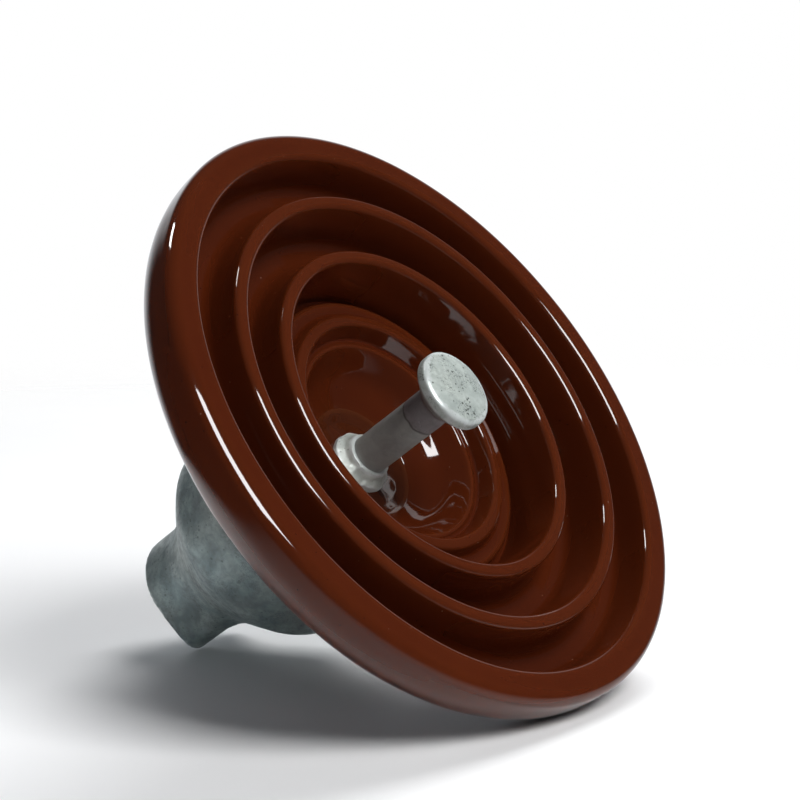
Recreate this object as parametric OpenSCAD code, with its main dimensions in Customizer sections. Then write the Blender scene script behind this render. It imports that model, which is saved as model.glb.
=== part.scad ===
// Cap-and-pin suspension insulator: a glazed porcelain shell with a cast iron cap
// cemented over its head and a forged ball pin cemented in its bore.
// Millimetres. Z is the string axis, cap up. The origin is the point of the socket
// where the ball shoulder of the unit above bears, so the next unit hangs at
// z = -unit_spacing.
// Heights in the profiles are measured upwards from the crest plane of rib A.

/* [Coupling] */
// Distance from one ball seat to the next
unit_spacing = 146; // [127:1:170]
// Diameter of the pin shank
shank_d = 16.4; // [15.5:0.1:17]
// Diameter of the ball
ball_d = 33.3; // [32:0.1:34]
// Height of the ball below its shoulder
ball_h = 13.4; // [12.5:0.1:14]
// Height of the socket lip above the ball seat
lip_h = 13.4; // [12:0.1:17]
// Radial clearance of the ball in the socket
ball_gap = 0.95; // [0.5:0.05:1.5]
// Width of the slot that lets the shank in
throat_w = 19.2; // [18.5:0.1:20]

/* [Shell] */
// Diameter of the disc over the rim
disc_d = 255; // [250:1:260]
// Ball shoulder height above the rib A crest plane
shoulder_h = 1.2; // [0:0.1:5]
// Slope of the upper surface in degrees
shed_slope = 18; // [12:0.5:24]
// Radius of the head where it leaves the shed
head_r = 38; // [36:0.5:40]
// Height of the crown above the rib crest plane
crown_h = 113; // [105:0.5:116]
// Thickness of the crown
crown_t = 14; // [12:0.5:16]
// Radius of the bore at its mouth
bore_r = 24.2; // [22:0.1:26]

/* [Cap] */
// Outer radius of the skirt
skirt_r = 48.5; // [46:0.5:50]
// Height of the skirt mouth above the rib crest plane
skirt_mouth_h = 56; // [54:0.5:60]
// Outer radius of the neck under the socket
neck_r = 26; // [25:0.1:28]
// Half width of the socket housing across its cheeks
cheek_y = 25; // [24.5:0.1:27]
// Distance from the axis to the open side of the socket
mouth_x = 20.5; // [20:0.1:26]

/* [Locking clip] */
// Strip thickness of the clip
clip_t = 1.5; // [1.2:0.1:2]
// Strip width of the clip
clip_w = 4; // [3:0.1:4.4]
// Front face of the clip feet when locked
clip_front = 4; // [3:0.1:6]

/* [Joint layers] */
// Thickness of the bitumen coats
coat_t = 0.5; // [0.3:0.05:1]
// Thickness of the sand bands
sand_t = 0.9; // [0.6:0.05:1.4]
// Thickness of the sealing rings on the cement faces
seal_t = 1.7; // [1:0.1:3]

/* [Hidden] */
$fn = 96;

rib_z = -unit_spacing - shoulder_h;
disc_r = disc_d / 2;
shank_r = shank_d / 2;
ball_r = ball_d / 2;
ball_end_h = shoulder_h - ball_h;
cone_h = 7.2;                      // height of the cone under the ball shoulder
cap_top_h = lip_h - rib_z;
rim_top_h = 23;
neck_h = rim_top_h + (disc_r - head_r) * tan(shed_slope);
head_taper = 1.8;
bore_taper = 0.6;
bore_mouth_h = 46.5;
bore_top_h = crown_h - crown_t;
face_h = 48.8;                     // visible face of the seal in the bore
cement_h = face_h + seal_t;
cap_seal_h = 58;
cap_cement_h = cap_seal_h + seal_t;
sleeve_end_h = 58;
pin_end_h = 93.5;
pin_cone_r = 16.5;
cushion_t = 2.6;
pin_cushion_r = 13.5;
coat_end_h = 91;
sleeve_r = 10.6;
bore_sand_low = 54;
bore_sand_high = 88;

skirt_in_r = 42.6;
roof_h = 116.8;
roof_r = 24.8;
socket_r = ball_r + ball_gap;
socket_floor = -19.5;
slot_top = -5.2;
seat_low = -cone_h - 0.7;
seat_high = -1.1;
housing_r = cheek_y;
housing_x = 1.6;
corner_r = 7.5;
pocket_x = 20.8;
pocket_y = 8.6;
clip_slot_y = 4.2;
clip_z = socket_floor + 0.4;
clip_slot_h = clip_w + 0.7;
clip_leg_y = 2.2;
clip_foot_y = 6.6;
clip_tip_x = 21.6;

function unit(v) = v / norm(v);
function flat2(p) = [p[0], p[1]];
function at(p, i) = p[(i + len(p)) % len(p)];
function to_prev(p, i) = unit(flat2(at(p, i - 1)) - flat2(at(p, i)));
function to_next(p, i) = unit(flat2(at(p, i + 1)) - flat2(at(p, i)));
function half_angle(p, i) = acos(to_prev(p, i) * to_next(p, i)) / 2;
function turn(p, i) = cross(-to_prev(p, i), to_next(p, i));
function corner_arc(p, i) = len(at(p, i)) > 2 ? at(p, i)[2] : 0;
function arc_centre(p, i) = flat2(at(p, i))
    + unit(to_prev(p, i) + to_next(p, i)) * corner_arc(p, i) / sin(half_angle(p, i));
function arc_start(p, i) = flat2(at(p, i))
    + to_prev(p, i) * corner_arc(p, i) / tan(half_angle(p, i));
function arc_end(p, i) = flat2(at(p, i))
    + to_next(p, i) * corner_arc(p, i) / tan(half_angle(p, i));
function head_at(h) = head_r - head_taper * (h - neck_h) / (crown_h - neck_h);
function bore_at(h) = bore_r + bore_taper * (h - bore_mouth_h) / (bore_top_h - bore_mouth_h);

// Sliver between the chord and the true arc of corner i
module arc_sliver(p, i) {
    apex = flat2(at(p, i)) * 1.3 - arc_centre(p, i) * 0.3;
    intersection() {
        translate(arc_centre(p, i))
            circle(r = corner_arc(p, i));
        polygon([arc_start(p, i), apex, arc_end(p, i)]);
    }
}

// Closed outline, counter-clockwise, whose corners [x, y, radius] are true arcs
module rounded(p) {
    union() {
        difference() {
            polygon([for (i = [0 : len(p) - 1])
                     for (q = corner_arc(p, i) > 0 ? [arc_start(p, i), arc_end(p, i)]
                                                   : [flat2(p[i])]) q]);
            for (i = [0 : len(p) - 1])
                if (corner_arc(p, i) > 0 && turn(p, i) < 0)
                    arc_sliver(p, i);
        }
        for (i = [0 : len(p) - 1])
            if (corner_arc(p, i) > 0 && turn(p, i) > 0)
                arc_sliver(p, i);
    }
}

// Rectangle between two heights, used to trim profiles
module band(low, high, r_in = 0, r_out = 60) {
    translate([r_in, low])
        square([r_out - r_in, high - low]);
}

module revolve() {
    translate([0, 0, rib_z])
        rotate_extrude()
            children();
}

// Underside runs out from the bore: bowl, low double rib C, rib B, rib A, rim
module shell_profile() {
    rounded([
        [0, bore_top_h],
        [bore_r + bore_taper, bore_top_h, 9],
        [bore_r, bore_mouth_h, 1.4],
        [36, 39, 16],
        [43.4, 27.6, 1.6],
        [46.4, 29.6, 1.4],
        [48.8, 20.6, 1.5],
        [53.3, 20.8, 1.5],
        [55.6, 25.6, 1.8],
        [62, 24, 2.2],
        [63.2, 31, 0.9],
        [66.4, 31.4, 0.9],
        [68, 4, 2.1],
        [73.6, 4, 2.1],
        [75.8, 24, 5.5],
        [89.4, 22.6, 5.5],
        [91.6, 0, 2.2],
        [97.4, 0, 2.2],
        [99.4, 18.6, 5.5],
        [112.4, 17.2, 5.5],
        [114.6, -1.4, 2.6],
        [disc_r, -1.4, 4.5],
        [disc_r, rim_top_h, 20],
        [head_r, neck_h, 8],
        [head_r - head_taper, crown_h, 15],
        [0, crown_h]
    ]);
}

module head_profile() {
    rounded([
        [0, cap_seal_h - 1],
        [head_at(cap_seal_h - 1), cap_seal_h - 1],
        [head_r - head_taper, crown_h, 15],
        [0, crown_h]
    ]);
}

module pin_profile() {
    rounded([
        [0, ball_end_h],
        [6, ball_end_h, 30],
        [ball_r, ball_end_h + 1.3, 2.2],
        [ball_r, shoulder_h - cone_h, 1.5],
        [shank_r, shoulder_h, 2.5],
        [shank_r, 62, 6],
        [pin_cone_r, 86, 3],
        [pin_cone_r, pin_end_h, 2.5],
        [0, pin_end_h]
    ]);
}

// Outline of the embedded pin end, grown by t
module pin_root_profile(t) {
    rounded([
        [0, 60],
        [shank_r + t, 60],
        [shank_r + t, 62, 6],
        [pin_cone_r + t, 86, 3],
        [pin_cone_r + t, coat_end_h],
        [0, coat_end_h]
    ]);
}

module sleeve_profile() {
    rounded([
        [shank_r, 41.2],
        [10.4, 41.2, 1],
        [10.8, 43.4, 1.2],
        [13.6, 44.8, 1.4],
        [13.6, face_h, 0.8],
        [sleeve_r, face_h],
        [sleeve_r, sleeve_end_h, 0.8],
        [shank_r, sleeve_end_h]
    ]);
}

// Inside of the cap, shrunk by t
module cap_cavity_profile(t) {
    rounded([
        [0, skirt_mouth_h - 1],
        [skirt_in_r - 1.4 - t, skirt_mouth_h - 1],
        [skirt_in_r - t, 105.3 - t, 12],
        [roof_r, roof_h - t, 6],
        [0, roof_h - t]
    ]);
}

module cap_outer_profile() {
    rounded([
        [0, skirt_mouth_h],
        [skirt_r + 1.7, skirt_mouth_h, 1.8],
        [skirt_r + 1.7, 62, 3],
        [skirt_r - 0.2, 67, 4],
        [skirt_r - 0.9, 108, 15],
        [neck_r + 4.5, 130.5, 10],
        [neck_r, 140, 8],
        [18, 152],
        [0, 152]
    ]);
}

module housing_plan() {
    union() {
        translate([housing_x, 0])
            circle(r = housing_r);
        translate([corner_r - mouth_x, -cheek_y])
            square([mouth_x - corner_r + housing_x, 2 * cheek_y]);
        translate([-mouth_x, corner_r - cheek_y])
            square([mouth_x, 2 * (cheek_y - corner_r)]);
        for (s = [-1, 1])
            translate([corner_r - mouth_x, s * (cheek_y - corner_r)])
                circle(r = corner_r);
    }
}

// Rounded plan of the socket, flared outwards from the neck
module housing() {
    intersection() {
        translate([0, 0, rib_z + 129])
            linear_extrude(cap_top_h - 129)
                housing_plan();
        revolve()
            rounded([
                [0, 128],
                [neck_r - 1, 128],
                [neck_r + 2, 137, 12],
                [32.5, 147, 10],
                [37, 153.5, 5],
                [35.5, cap_top_h, 4],
                [0, cap_top_h]
            ]);
    }
}

// Ball seat, ball space and throat, about the string axis
module socket_void() {
    rotate_extrude()
        polygon([
            [0, socket_floor],
            [socket_r, socket_floor],
            [socket_r, seat_low],
            [throat_w / 2, seat_high],
            [throat_w / 2, lip_h - 3.5],
            [throat_w / 2 + 3.5, lip_h + 0.01],
            [throat_w / 2 + 3.5, lip_h + 1],
            [0, lip_h + 1]
        ]);
}

// Side entry for the ball below, and for the shank above
module mouth_void() {
    translate([-2 * mouth_x, -socket_r, socket_floor])
        cube([2 * mouth_x, 2 * socket_r, slot_top - socket_floor]);
    translate([-2 * mouth_x, -throat_w / 2, slot_top - 1])
        cube([2 * mouth_x, throat_w, lip_h + 2 - slot_top]);
}

// Pocket for the clip feet and slot for its nose, opposite the side entry
module clip_void() {
    translate([socket_r / 2, -pocket_y, socket_floor])
        cube([pocket_x - socket_r / 2, 2 * pocket_y, clip_slot_h]);
    translate([socket_r / 2, -clip_slot_y, socket_floor])
        cube([2 * mouth_x, 2 * clip_slot_y, clip_slot_h]);
}

module porcelain_shell() {
    color([0.28, 0.09, 0.04])
        revolve()
            shell_profile();
}

module cap() {
    color([0.55, 0.58, 0.57])
        difference() {
            union() {
                revolve()
                    cap_outer_profile();
                housing();
            }
            revolve()
                cap_cavity_profile(0);
            socket_void();
            mouth_void();
            clip_void();
        }
}

module pin() {
    color([0.50, 0.52, 0.52])
        revolve()
            pin_profile();
}

module cap_cement() {
    color([0.62, 0.60, 0.56])
        revolve()
            difference() {
                intersection() {
                    cap_cavity_profile(coat_t);
                    band(cap_cement_h, crown_h + 10);
                }
                head_profile();
                head_band_profile();
                head_cushion_profile();
            }
}

// Fills the bore round the sleeve, the coated pin root and the cushion
module pin_cement_profile() {
    rounded([
        [shank_r, sleeve_end_h],
        [sleeve_r, sleeve_end_h],
        [sleeve_r, cement_h],
        [bore_at(cement_h), cement_h],
        [bore_at(bore_sand_low), bore_sand_low],
        [bore_at(bore_sand_low) - sand_t, bore_sand_low],
        [bore_at(bore_sand_high) - sand_t, bore_sand_high],
        [bore_at(bore_sand_high), bore_sand_high],
        [bore_r + bore_taper, bore_top_h, 9],
        [0, bore_top_h],
        [0, pin_end_h + cushion_t],
        [pin_cushion_r, pin_end_h + cushion_t],
        [pin_cushion_r, pin_end_h],
        [pin_cone_r, pin_end_h],
        [pin_cone_r, coat_end_h],
        [pin_cone_r + coat_t, coat_end_h],
        [pin_cone_r + coat_t, 86, 3],
        [shank_r + coat_t, 62, 6],
        [shank_r + coat_t, 60],
        [shank_r, 60]
    ]);
}

module pin_cement() {
    color([0.62, 0.60, 0.56])
        revolve()
            pin_cement_profile();
}

module head_band_profile() {
    polygon([
        [head_at(66), 66],
        [head_at(66) + sand_t, 66],
        [head_at(97) + sand_t, 97],
        [head_at(97), 97]
    ]);
}

module bore_band_profile() {
    polygon([
        [bore_at(bore_sand_low) - sand_t, bore_sand_low],
        [bore_at(bore_sand_low), bore_sand_low],
        [bore_at(bore_sand_high), bore_sand_high],
        [bore_at(bore_sand_high) - sand_t, bore_sand_high]
    ]);
}

module head_cushion_profile() {
    band(crown_h, roof_h - coat_t, 0, 20);
}

module pin_cushion_profile() {
    band(pin_end_h, pin_end_h + cushion_t, 0, pin_cushion_r);
}

module head_sand_band() {
    color([0.45, 0.30, 0.22])
        revolve()
            head_band_profile();
}

module bore_sand_band() {
    color([0.45, 0.30, 0.22])
        revolve()
            bore_band_profile();
}

module head_cushion() {
    color([0.62, 0.46, 0.30])
        revolve()
            head_cushion_profile();
}

module pin_cushion() {
    color([0.62, 0.46, 0.30])
        revolve()
            pin_cushion_profile();
}

module cap_bitumen_coat() {
    color([0.05, 0.05, 0.05])
        revolve()
            difference() {
                intersection() {
                    cap_cavity_profile(0);
                    band(cap_cement_h, crown_h + 10);
                }
                cap_cavity_profile(coat_t);
            }
}

module pin_bitumen_coat() {
    color([0.05, 0.05, 0.05])
        revolve()
            difference() {
                pin_root_profile(coat_t);
                pin_profile();
            }
}

module zinc_sleeve() {
    color([0.66, 0.69, 0.66])
        revolve()
            sleeve_profile();
}

module cap_face_seal() {
    color([0.20, 0.07, 0.04])
        revolve()
            difference() {
                intersection() {
                    cap_cavity_profile(0);
                    band(cap_seal_h, cap_cement_h);
                }
                head_profile();
            }
}

module pin_face_seal() {
    color([0.20, 0.07, 0.04])
        revolve()
            polygon([
                [sleeve_r, face_h],
                [20.5, face_h],
                [22.8, face_h - 0.3],
                [bore_at(48), 48],
                [bore_at(cement_h), cement_h],
                [sleeve_r, cement_h]
            ]);
}

// Flat strip bent to a closed nose with two outward feet
module clip_plan() {
    foot_x = clip_front + clip_t;
    difference() {
        union() {
            translate([clip_tip_x, 0])
                circle(r = clip_leg_y + clip_t / 2);
            translate([foot_x, -clip_leg_y - clip_t / 2])
                square([clip_tip_x - foot_x, 2 * clip_leg_y + clip_t]);
        }
        translate([clip_tip_x, 0])
            circle(r = clip_leg_y - clip_t / 2);
        translate([0, clip_t / 2 - clip_leg_y])
            square([clip_tip_x, 2 * clip_leg_y - clip_t]);
    }
    for (s = [-1, 1]) {
        translate([clip_front, s * (clip_leg_y + clip_foot_y) / 2 - (clip_foot_y - clip_leg_y + clip_t) / 2])
            square([clip_t, clip_foot_y - clip_leg_y + clip_t]);
        translate([clip_front + clip_t, s * clip_foot_y])
            circle(r = clip_t);
    }
}

module locking_clip() {
    color([0.78, 0.66, 0.40])
        translate([0, 0, clip_z])
            linear_extrude(clip_w)
                clip_plan();
}

porcelain_shell();
cap();
pin();
cap_cement();
pin_cement();
head_sand_band();
bore_sand_band();
head_cushion();
pin_cushion();
cap_bitumen_coat();
pin_bitumen_coat();
zinc_sleeve();
cap_face_seal();
pin_face_seal();
locking_clip();
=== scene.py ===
# %% [markdown]
# # A disc insulator with a ball and socket coupling
# The object is one unit of an insulator string: a brown glazed porcelain disc, a cast
# cap cemented over its head and a forged pin cemented in its bore. Nearly all of it is
# turned about one line, so most pieces here are turned too: an outline in millimetres
# is spun round the Z axis. Only the cap's socket and the small locking clip are not.
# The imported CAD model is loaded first. It fixes every size and every place.

# %% Load the frame and keep its box
import math
import bmesh
import bpy
import numpy as np
from mathutils import Matrix, Vector, noise


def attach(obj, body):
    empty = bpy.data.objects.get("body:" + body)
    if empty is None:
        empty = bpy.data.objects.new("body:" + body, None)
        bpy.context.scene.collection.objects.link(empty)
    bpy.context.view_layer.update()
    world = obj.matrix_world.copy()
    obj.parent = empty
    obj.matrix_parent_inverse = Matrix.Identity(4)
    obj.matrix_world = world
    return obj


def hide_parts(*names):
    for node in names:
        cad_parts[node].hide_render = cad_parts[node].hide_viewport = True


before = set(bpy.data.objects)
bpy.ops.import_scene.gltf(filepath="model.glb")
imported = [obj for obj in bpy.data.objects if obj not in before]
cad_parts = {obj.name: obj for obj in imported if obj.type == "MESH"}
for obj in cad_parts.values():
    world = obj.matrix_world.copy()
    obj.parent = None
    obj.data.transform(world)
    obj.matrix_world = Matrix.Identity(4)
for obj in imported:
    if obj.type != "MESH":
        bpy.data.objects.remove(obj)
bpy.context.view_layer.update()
MM = 0.001
RIB_Z = -147.2          # height of the middle ribs' crest plane above the ball seat

# %% [markdown]
# ## Camera
# The unit lies on its side on a table, propped on its rim and on the corner of the
# socket. The frame keeps the string axis upright, so the camera is the thing that is
# tilted. It looks from under the disc, up at the pin, and is then rolled until the
# table would be level. Three angles and lengths say that better than a matrix of
# numbers, and the directions are worked out from them. A long lens keeps the ellipses
# of the ribs calm, as in a catalogue picture.

# %% Place the camera
CAMERA_TILT = math.radians(33.5)        # how far below the disc's plane it looks from
CAMERA_ROLL = math.radians(-128.4)      # turn about its own line of sight
CAMERA_REACH = 0.704                    # distance to the point it looks at
CAMERA_AIM = Vector((0.0098, 0.0, -0.1334))
LENS, SENSOR = 81.0, 36.0
camera_back = Vector((0, -math.cos(CAMERA_TILT), -math.sin(CAMERA_TILT)))
level_right = Vector((1, 0, 0))
level_up = camera_back.cross(level_right)
camera_right = level_right * math.cos(CAMERA_ROLL) + level_up * math.sin(CAMERA_ROLL)
camera_up = camera_back.cross(camera_right)
camera = bpy.data.objects.new("camera", bpy.data.cameras.new("camera"))
camera.data.lens, camera.data.sensor_width = LENS, SENSOR
camera.data.clip_start, camera.data.clip_end = 0.01, 50.0
turn = Matrix((camera_right, camera_up, camera_back)).transposed().to_4x4()
camera.matrix_world = Matrix.Translation(CAMERA_AIM + camera_back * CAMERA_REACH) @ turn
bpy.context.collection.objects.link(camera)
bpy.context.scene.camera = camera
print("camera at", tuple(round(c, 4) for c in camera.matrix_world.translation))

# %% [markdown]
# ## Table
# The table touches the rim and the socket corner, so its plane leans against the
# string axis. How far is not guessed: the plane is tipped until the lowest point of
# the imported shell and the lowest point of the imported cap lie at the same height, by
# halving the range of angles again and again. A round disc is enough for its mesh.
# Its shader fades to clear far from the object, which melts the table into the white
# room without a line, and its underside is clear too, so that a look from below is
# not blocked. In reflections it ends sooner, as if black cloth lay round it, or the
# bowl would mirror a white patch of table.

# %% Find the plane that touches both
TABLE_RADIUS = 4.0
STEEPEST = math.radians(17)
HALVINGS = 40


def corners_of(node):
    return np.array([v.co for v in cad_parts[node].data.vertices], float)


def up_at(angle):
    return camera_up * math.cos(angle) + camera_back * math.sin(angle)


def lowest(points, up):
    return float((points @ np.array(up)).min())


shell_points, cap_points = corners_of("porcelain_shell"), corners_of("cap")
low_angle, high_angle = 0.0, STEEPEST
low_side = lowest(shell_points, up_at(0.0)) > lowest(cap_points, up_at(0.0))
for _ in range(HALVINGS):
    middle = (low_angle + high_angle) / 2
    side = lowest(shell_points, up_at(middle)) > lowest(cap_points, up_at(middle))
    if side == low_side:
        low_angle = middle
    else:
        high_angle = middle
table_up = up_at(low_angle)
table_height = lowest(shell_points, table_up)
print("camera looks down on the table by", round(math.degrees(low_angle), 2), "degrees",
      "table height", round(table_height, 5))


# %% Lay the table
def lean(direction, twist=(0, 0, 1)):
    """Rotation whose Z axis is the direction and whose X axis lies across twist."""
    z = Vector(direction).normalized()
    x = Vector(twist).cross(z).normalized()
    return Matrix((x, z.cross(x), z)).transposed().to_4x4()


def link_mesh(name, mesh):
    piece = bpy.data.objects.new(name, mesh)
    bpy.context.collection.objects.link(piece)
    return piece


table_top = bmesh.new()
bmesh.ops.create_circle(table_top, cap_ends=True, segments=96, radius=TABLE_RADIUS)
table_mesh = bpy.data.meshes.new("table")
table_top.to_mesh(table_mesh)
table_top.free()
table = link_mesh("table", table_mesh)
table.matrix_world = Matrix.Translation(table_up * table_height) @ lean(table_up)
print("table leans", round(math.degrees(table_up.angle((0, 0, 1))), 1), "degrees")

# %% [markdown]
# ## Nodes by hand
# Materials are built in code. One helper adds a node, sets its options and fills its
# sockets: a plain value is written in, and another node's socket is linked. With it a
# material reads from top to bottom like a recipe.

# %% Helpers that add nodes
def put(tree, kind, inputs=None, **options):
    made = tree.nodes.new("ShaderNode" + kind)
    for key, value in options.items():
        setattr(made, key, value)
    for key, value in (inputs or {}).items():
        if isinstance(value, bpy.types.NodeSocket):
            tree.links.new(value, made.inputs[key])
        else:
            made.inputs[key].default_value = value
    return made


def sums(tree, operation, a, b=0.0, c=0.0, clamp=False):
    inputs = {0: a, 1: b}
    if operation == "MULTIPLY_ADD":
        inputs[2] = c
    return put(tree, "Math", inputs, operation=operation, use_clamp=clamp).outputs[0]


def tint(tree, amount, first, second, mode="MIX"):
    inputs = {0: amount, 6: first, 7: second}
    return put(tree, "Mix", inputs, data_type="RGBA", blend_type=mode).outputs[2]


def spread(tree, value, low, high, to_low=0.0, to_high=1.0):
    inputs = {"Value": value, "From Min": low, "From Max": high,
              "To Min": to_low, "To Max": to_high}
    return put(tree, "MapRange", inputs, interpolation_type="SMOOTHSTEP").outputs[0]


def new_material(name):
    material = bpy.data.materials.new(name)
    material.use_nodes = True
    material.node_tree.nodes.clear()
    return material, material.node_tree


# %% Table material
material_table, tree = new_material("table_white")
place = put(tree, "TexCoord").outputs["Object"]
far = put(tree, "VectorMath", {0: place}, operation="LENGTH").outputs["Value"]
hidden = spread(tree, far, 0.40, 1.5)
under = put(tree, "NewGeometry").outputs["Backfacing"]
in_gloss = put(tree, "LightPath").outputs["Is Glossy Ray"]
cloth = sums(tree, "MULTIPLY", in_gloss, spread(tree, far, 0.15, 0.28))
clear = sums(tree, "MAXIMUM", sums(tree, "MAXIMUM", hidden, under), cloth)
paper = put(tree, "TexNoise", {"Vector": place, "Scale": 6.0, "Detail": 3.0})
white = tint(tree, paper.outputs["Fac"], (0.86, 0.865, 0.875, 1), (0.9, 0.9, 0.9, 1))
paint = put(tree, "BsdfPrincipled", {"Base Color": white, "Roughness": 0.55,
                                     "Specular IOR Level": 0.2})
see_through = put(tree, "BsdfTransparent")
mixed = put(tree, "MixShader", {0: clear, 1: paint.outputs[0], 2: see_through.outputs[0]})
put(tree, "OutputMaterial", {"Surface": mixed.outputs[0]})
table.data.materials.append(material_table)
print("table material:", len(tree.nodes), "nodes")

# %% [markdown]
# ## Room and lamps
# Gloss is mostly a picture of the room, so the lamps draw this object. A large soft
# box makes the bright streaks that run along the ribs, and a small high lamp puts one
# spark on the rim. Neither lights the matt colours. Two other lamps do only that, and
# leave no mirror image: one shines almost along the string axis, into the bowl, and
# one stands high behind the object and throws its soft shadow forwards on the table.
# The room itself is white to the camera and dark in the reflections, like a studio
# hung with black cloth, with one white screen behind the object for the edges of the
# glaze and the metal to catch. Matt colours get a weak glow from the cap's side.

# %% Light the room
AIM = Vector((0, 0, -0.1))


def soft_box(name, direction, distance, size, radiance, twist, gloss=True, matt=True):
    """Rectangular lamp that is as bright as told, whatever its size."""
    lamp = bpy.data.lights.new(name, "AREA")
    lamp.shape, lamp.size, lamp.size_y = "RECTANGLE", size[0], size[1]
    lamp.energy = radiance * math.pi * size[0] * size[1]
    box = bpy.data.objects.new(name, lamp)
    bpy.context.collection.objects.link(box)
    way = Vector(direction).normalized()
    box.matrix_world = Matrix.Translation(AIM + way * distance) @ lean(way, twist)
    box.visible_glossy, box.visible_diffuse = gloss, matt
    return lamp.energy


watts = [
    soft_box("streak_box", (0.31, -0.49, -0.81), 3.0, (2.1, 1.5), 19.0, (0, 0, 1), matt=False),
    soft_box("spark_lamp", (0.97, 0.23, -0.11), 2.0, (0.40, 0.32), 22.0, (0, 1, 0), matt=False),
    soft_box("bowl_lamp", (0.22, -0.03, -0.97), 2.5, (1.2, 1.2), 13.5, (0, 1, 0), gloss=False),
    soft_box("table_lamp", (0.47, 0.80, -0.30), 3.0, (1.5, 1.5), 10.0, (0, 1, 0), gloss=False),
]
BEHIND = (0.0, 0.83, 0.55)
BESIDE_CAP = (0.33, 0.61, 0.71)
world = bpy.data.worlds.new("room")
bpy.context.scene.world = world
world.use_nodes = True
tree = world.node_tree
tree.nodes.clear()
way = put(tree, "TexCoord").outputs["Generated"]


def towards(direction, low, high):
    near = put(tree, "VectorMath", {0: way, 1: Vector(direction).normalized()},
               operation="DOT_PRODUCT").outputs["Value"]
    return spread(tree, near, low, high)


path = put(tree, "LightPath")
mirrored = tint(tree, towards(BEHIND, 0.60, 0.90), (0.03, 0.03, 0.032, 1), (0.9, 0.92, 0.95, 1))
glow = tint(tree, towards(BESIDE_CAP, 0.1, 0.9), (0.035, 0.037, 0.04, 1), (0.50, 0.53, 0.57, 1))
dim = tint(tree, path.outputs["Is Glossy Ray"], glow, mirrored)
seen = tint(tree, path.outputs["Is Camera Ray"], dim, (1.0, 1.0, 1.0, 1))
sky = put(tree, "Background", {"Color": seen, "Strength": 1.0})
put(tree, "OutputWorld", {"Surface": sky.outputs[0]})
bpy.context.scene.view_settings.view_transform = "Standard"
print("lamps:", [round(w, 1) for w in watts], "watts")

# %% [markdown]
# ## Outlines with true corners
# A porcelain disc is shaped by a template against a spinning mould, and castings and
# forgings are drawn with radii as well. So every outline is a list of corners, each
# with the radius of its rounding. The helper turns a corner into points of an arc,
# then cuts long straight runs into short steps, because later bumps need points to
# move.

# %% Helpers that round and divide an outline
def rounded(corners, arc_step=9.0):
    """Outline in which each corner (r, h, radius) has become an arc of points."""
    points = []
    for i, corner in enumerate(corners):
        here = np.array(corner[:2], float)
        radius = corner[2] if len(corner) > 2 else 0.0
        if radius <= 0:
            points.append(here)
            continue
        back = np.array(corners[i - 1][:2]) - here
        ahead = np.array(corners[(i + 1) % len(corners)][:2]) - here
        back, ahead = back / np.linalg.norm(back), ahead / np.linalg.norm(ahead)
        half = math.acos(np.clip(back @ ahead, -1, 1)) / 2
        middle = back + ahead
        centre = here + middle / np.linalg.norm(middle) * radius / math.sin(half)
        start = here + back * radius / math.tan(half) - centre
        end = here + ahead * radius / math.tan(half) - centre
        first = math.atan2(start[1], start[0])
        sweep = (math.atan2(end[1], end[0]) - first + math.pi) % (2 * math.pi) - math.pi
        steps = max(3, math.ceil(abs(math.degrees(sweep)) / arc_step))
        for k in range(steps + 1):
            angle = first + sweep * k / steps
            points.append(centre + radius * np.array([math.cos(angle), math.sin(angle)]))
    return np.array(points)


def divided(outline, longest=2.5, closed=False):
    """The same outline with no step longer than a given length."""
    points = []
    count = len(outline)
    for i in range(count if closed else count - 1):
        a, b = outline[i], outline[(i + 1) % count]
        steps = max(1, math.ceil(np.linalg.norm(b - a) / longest))
        points += [a + (b - a) * k / steps for k in range(steps)]
    return np.array(points if closed else points + [outline[-1]])


def bend_mask(outline, reach=1.6, closed=False):
    """+1 on sharp outer corners, -1 in sharp inner ones, 0 on straight runs."""
    ahead = np.roll(outline, -1, 0) - outline
    back = outline - np.roll(outline, 1, 0)
    bend = np.arctan2(back[:, 0] * ahead[:, 1] - back[:, 1] * ahead[:, 0],
                      (ahead * back).sum(1))
    if not closed:
        bend[0] = bend[-1] = 0
    along = np.cumsum(np.linalg.norm(back, axis=1))
    near = np.exp(-((along[:, None] - along[None, :]) / reach) ** 2)
    return np.clip((near * bend[None, :]).sum(1) / 1.2, -1, 1)


# %% [markdown]
# ## Turning on the lathe
# One function spins an outline round the Z axis. Rings of points are joined by
# four-sided faces, and an outline that meets the axis gets a single point there. The
# corner mask is stored on the mesh as two attributes. On crests a glaze is painted
# lighter, a painted highlight, and a metal shows wear; in hollows both are painted
# darker, a painted shade.

# %% Helper that turns a piece
def store(mesh, name, values):
    layer = mesh.attributes.new(name, "FLOAT", "POINT")
    layer.data.foreach_set("value", np.asarray(values, np.float32))


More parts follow.
